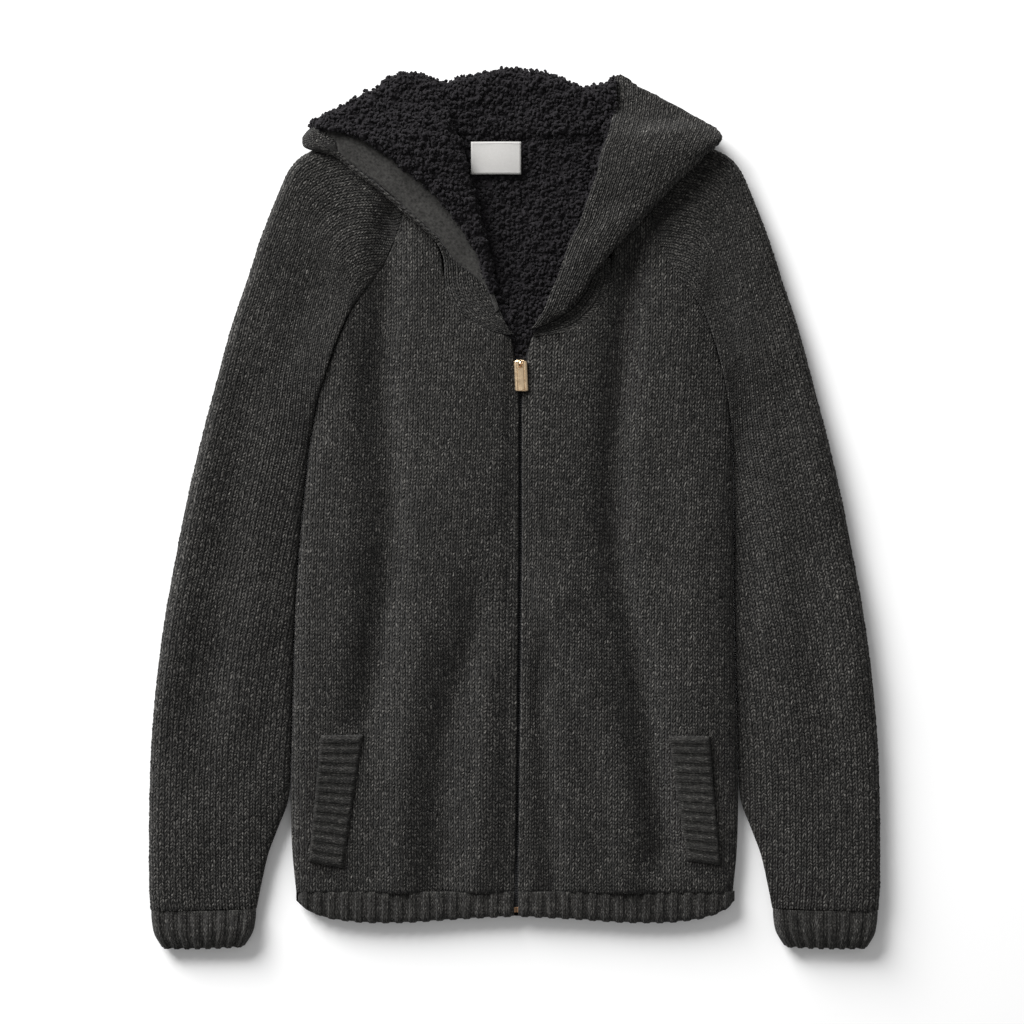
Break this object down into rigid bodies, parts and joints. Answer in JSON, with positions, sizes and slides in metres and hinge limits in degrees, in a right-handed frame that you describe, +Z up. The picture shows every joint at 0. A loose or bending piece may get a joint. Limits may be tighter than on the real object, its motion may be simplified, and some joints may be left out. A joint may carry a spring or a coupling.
{
  "type": "zip_up_hoodie_flat",
  "caption": "charcoal chunky-knit zip-up hoodie with raglan sleeves, black pile lining, ribbed cuffs, hem and pocket welts, laid flat on its back with the hood spread open",
  "frame": {"origin": "on the surface that the garment lies on, under the middle of its overall box", "axes": "+X to the wearer's left, which is the picture's right; +Y from hem to hood; +Z up from the surface"},
  "size_m": [0.6744, 0.8082, 0.0454],
  "materials": {
    "charcoal_knit": "chunky marled stockinette knit",
    "charcoal_rib": "two-by-two rib knit",
    "black_pile": "curly deep pile",
    "plain_facing": "fine flat jersey",
    "zip_tape": "woven tape and black coil",
    "woven_label": "smooth woven satin, bare",
    "pale_gold": "brushed pale gold plate",
    "bronze": "dull bronze"
  },
  "bodies": {
    "garment": {"back": "charcoal_knit", "front_left": "charcoal_knit", "front_right": "charcoal_knit", "sleeve_left": "charcoal_knit", "sleeve_right": "charcoal_knit", "cuff_left": "charcoal_rib", "cuff_right": "charcoal_rib", "hem_back": "charcoal_rib", "hem_left": "charcoal_rib", "hem_right": "charcoal_rib", "pocket_welt_left": "charcoal_rib", "pocket_welt_right": "charcoal_rib", "hood_right": "charcoal_knit", "hood_right_lining": "black_pile", "hood_facing": "plain_facing", "hood_back": "charcoal_knit", "hood_back_lining": "black_pile", "hood_left": "charcoal_knit", "hood_left_lining": "black_pile", "hood_base_left": "charcoal_knit", "neck_lining": "black_pile", "neck_label": "woven_label", "zip_tape_left": "zip_tape", "zip_tape_right": "zip_tape", "zip_chain": "zip_tape", "zip_slider": "pale_gold", "zip_stop_left": "bronze", "zip_stop_right": "bronze"},
    "pull": {"zip_pull": "pale_gold"}
  },
  "joints": [
    {"name": "pull_hinge", "type": "hinge", "parent": "garment", "child": "pull", "pos_m": [0.00547, 0.1345, 0.0184], "axis": [-1, 0, 0], "range_deg": [0, 150]}
  ]
}
